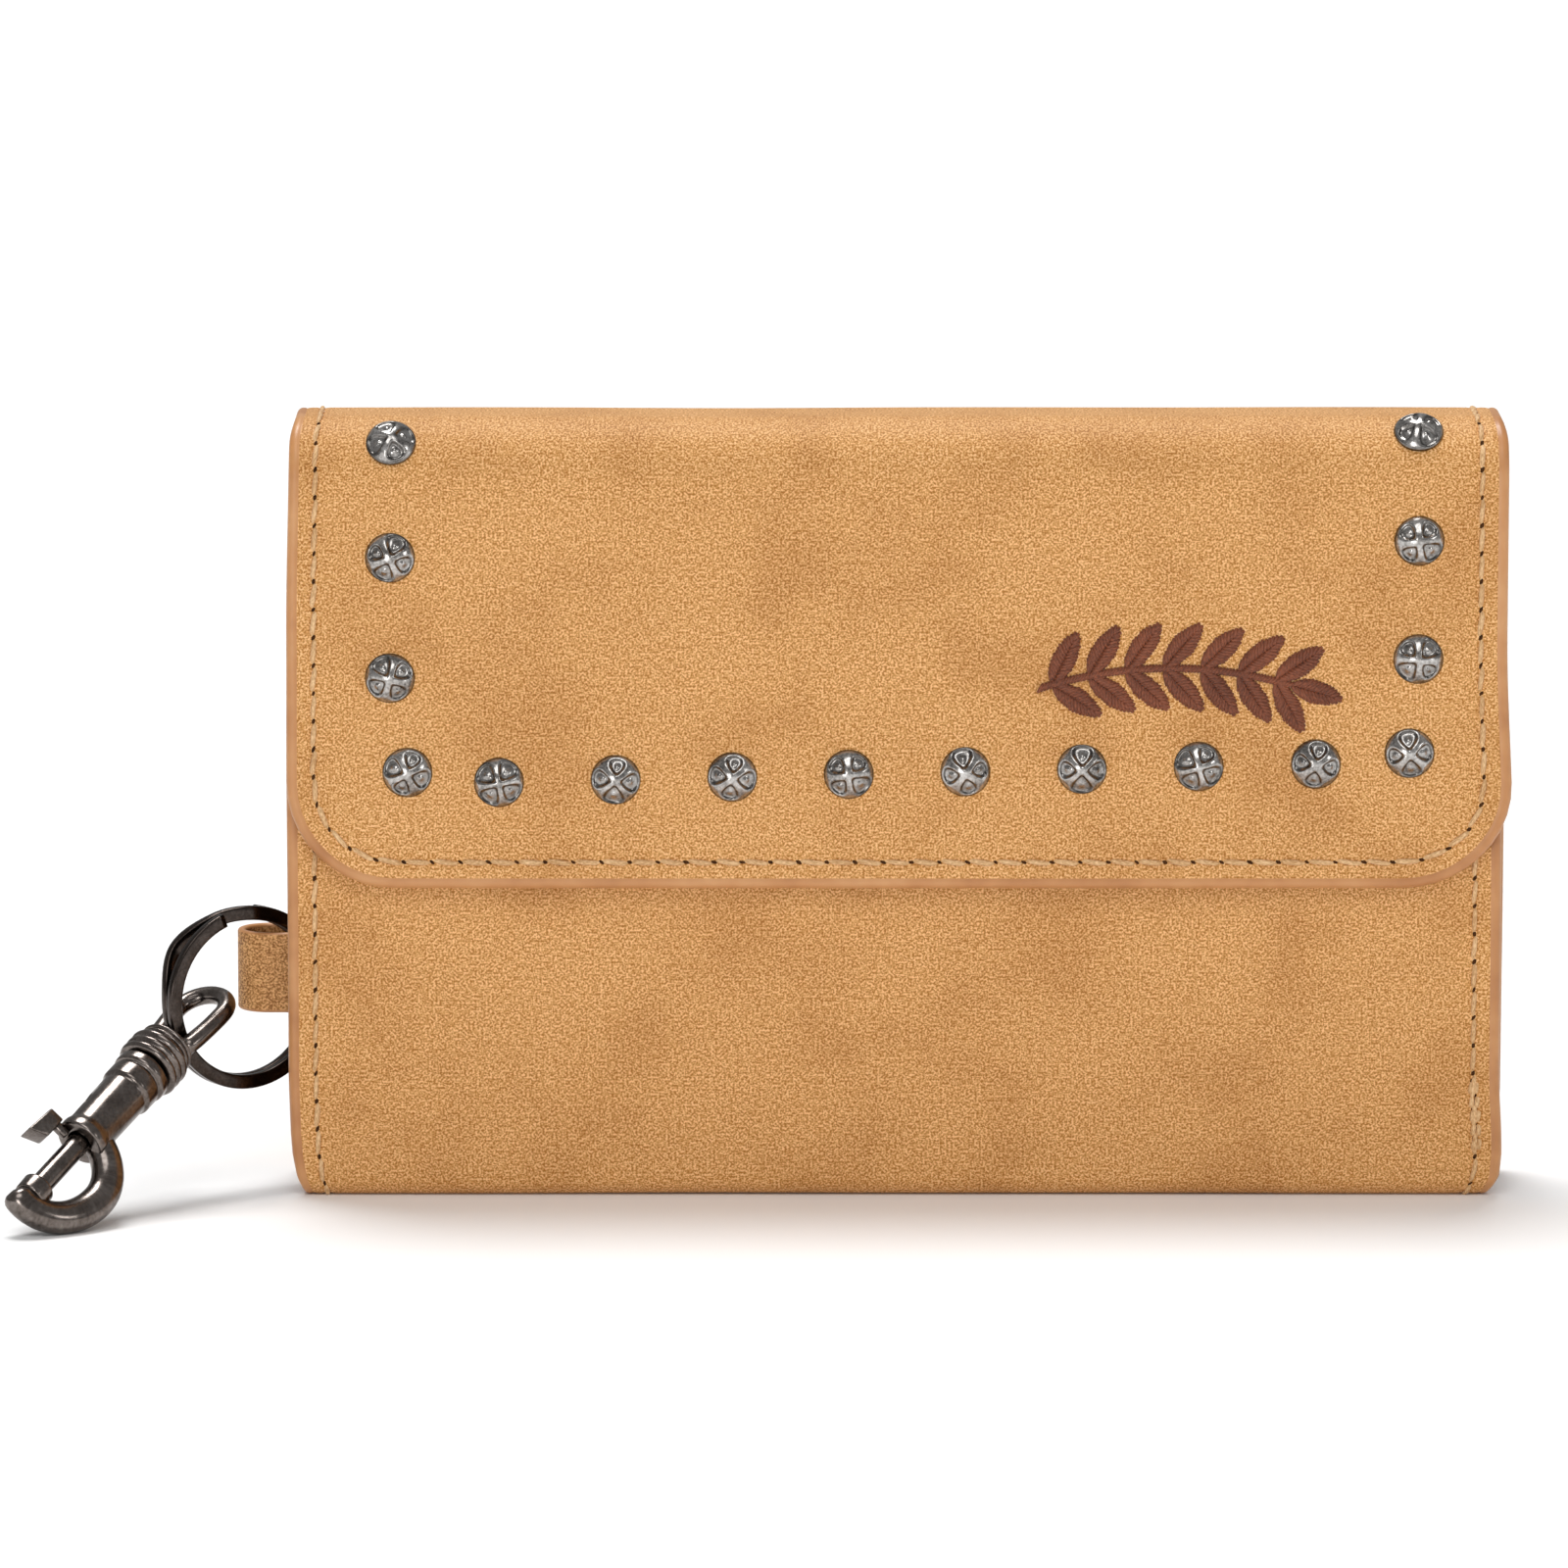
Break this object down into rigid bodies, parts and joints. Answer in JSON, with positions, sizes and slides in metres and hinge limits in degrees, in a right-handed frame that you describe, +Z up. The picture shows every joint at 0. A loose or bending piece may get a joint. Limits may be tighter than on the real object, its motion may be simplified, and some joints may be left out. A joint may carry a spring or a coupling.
{
  "type": "wristlet wallet",
  "caption": "Trifold leather wallet with a studded front flap, inner card, bill and coin pockets, a key tab, a split ring and a swivel snap hook.",
  "frame": {"origin": "middle of the flat bottom spine that the closed wallet stands on", "axes": "+X along the width, from the key tab's side to the other; +Y from the flap to the back; +Z up"},
  "size_m": [0.2083, 0.0508, 0.1107],
  "materials": {
    "leather": "faux suede with fine sparkling grain and cloudy tone",
    "tab_leather": "same leather, a little darker",
    "pocket_leather": "smooth leather",
    "lining": "woven lining",
    "stiffener": "fibre board",
    "zip_tape": "woven tape",
    "zip_metal": "antique brass",
    "stud_metal": "antique nickel with dark recesses",
    "clasp_metal": "satin nickel",
    "thread": "satin stitch thread",
    "window": "clear film",
    "hook_metal": "gunmetal, worn brown on the edges",
    "spring_metal": "bright wire"
  },
  "bodies": {
    "back_body": {"back_cover": "leather", "back_board": "stiffener", "back_lining": "lining", "bill_divider": "lining", "coin_pouch_gusset": "lining", "coin_pouch_front": "lining", "zip_tapes": "zip_tape", "zip_teeth": "zip_metal", "zip_stops": "zip_metal", "card_slot_1": "pocket_leather", "card_slot_2": "pocket_leather", "card_slot_3": "pocket_leather", "card_slot_4": "pocket_leather", "pocket_seams": "pocket_leather", "key_tab": "tab_leather"},
    "top_spine": {"top_cover": "leather", "top_board": "stiffener", "top_lining": "lining"},
    "flap": {"flap_cover": "leather", "flap_board": "stiffener", "flap_lining": "lining", "dome_studs": "stud_metal", "stud_burrs": "stud_metal", "snap_stud": "clasp_metal", "embroidery": "thread"},
    "front_panel": {"front_cover": "leather", "front_board": "stiffener", "front_lining": "lining", "snap_socket": "clasp_metal", "front_pocket": "pocket_leather", "window_frame": "pocket_leather", "front_pocket_seams": "pocket_leather", "window_film": "window"},
    "zip_slider": {"zip_slider": "zip_metal"},
    "zip_pull": {"zip_pull": "zip_metal"},
    "ring": {"split_ring": "hook_metal"},
    "swivel_eye": {"swivel_eye": "hook_metal"},
    "hook": {"hook_body": "hook_metal", "bolt_spring": "spring_metal"},
    "bolt": {"bolt_rod": "hook_metal", "thumb_knob": "hook_metal"}
  },
  "joints": [
    {"name": "top_fold", "type": "hinge", "parent": "back_body", "child": "top_spine", "pos_m": [0, 0.00966, 0.10766], "axis": [-1, 0, 0], "range_deg": [0, 90]},
    {"name": "flap_fold", "type": "hinge", "parent": "top_spine", "child": "flap", "pos_m": [0, -0.003, 0.11], "axis": [-1, 0, 0], "range_deg": [0, 60]},
    {"name": "front_panel_fold", "type": "hinge", "parent": "back_body", "child": "front_panel", "pos_m": [0, -0.00812, 0.00088], "axis": [1, 0, 0], "range_deg": [0, 90]},
    {"name": "zip_slider_travel", "type": "slide", "parent": "back_body", "child": "zip_slider", "axis": [-1, 0, 0], "range_m": [0, 0.118]},
    {"name": "zip_pull_swing", "type": "hinge", "parent": "zip_slider", "child": "zip_pull", "pos_m": [0.06, 0.0025, 0.087], "axis": [-1, 0, 0], "range_deg": [0, 150]},
    {"name": "ring_swing", "type": "hinge", "parent": "back_body", "child": "ring", "pos_m": [-0.08149, 0.00412, 0.0274], "axis": [0, 0, 1], "range_deg": [-30, 10]},
    {"name": "hook_eye_swing", "type": "hinge", "parent": "ring", "child": "swivel_eye", "pos_m": [-0.10078, -0.00864, 0.0229], "axis": [0.2653, 0.3817, -0.8854], "range_deg": [-40, 60]},
    {"name": "hook_swivel", "type": "hinge", "parent": "swivel_eye", "child": "hook", "pos_m": [-0.10078, -0.00864, 0.0229], "axis": [0.5053, 0.727, 0.4648], "continuous": true},
    {"name": "bolt_slide", "type": "slide", "parent": "hook", "child": "bolt", "axis": [0.5053, 0.727, 0.4648], "range_m": [0, 0.006], "stiffness_N_per_m": 200, "springref_m": -0.003, "deforming": ["bolt_spring"]}
  ],
  "couplings": [
    {"joint": "flap_fold", "follows": "top_fold", "ratio": 0.6666},
    {"joint": "front_panel_fold", "follows": "top_fold", "ratio": 1}
  ]
}
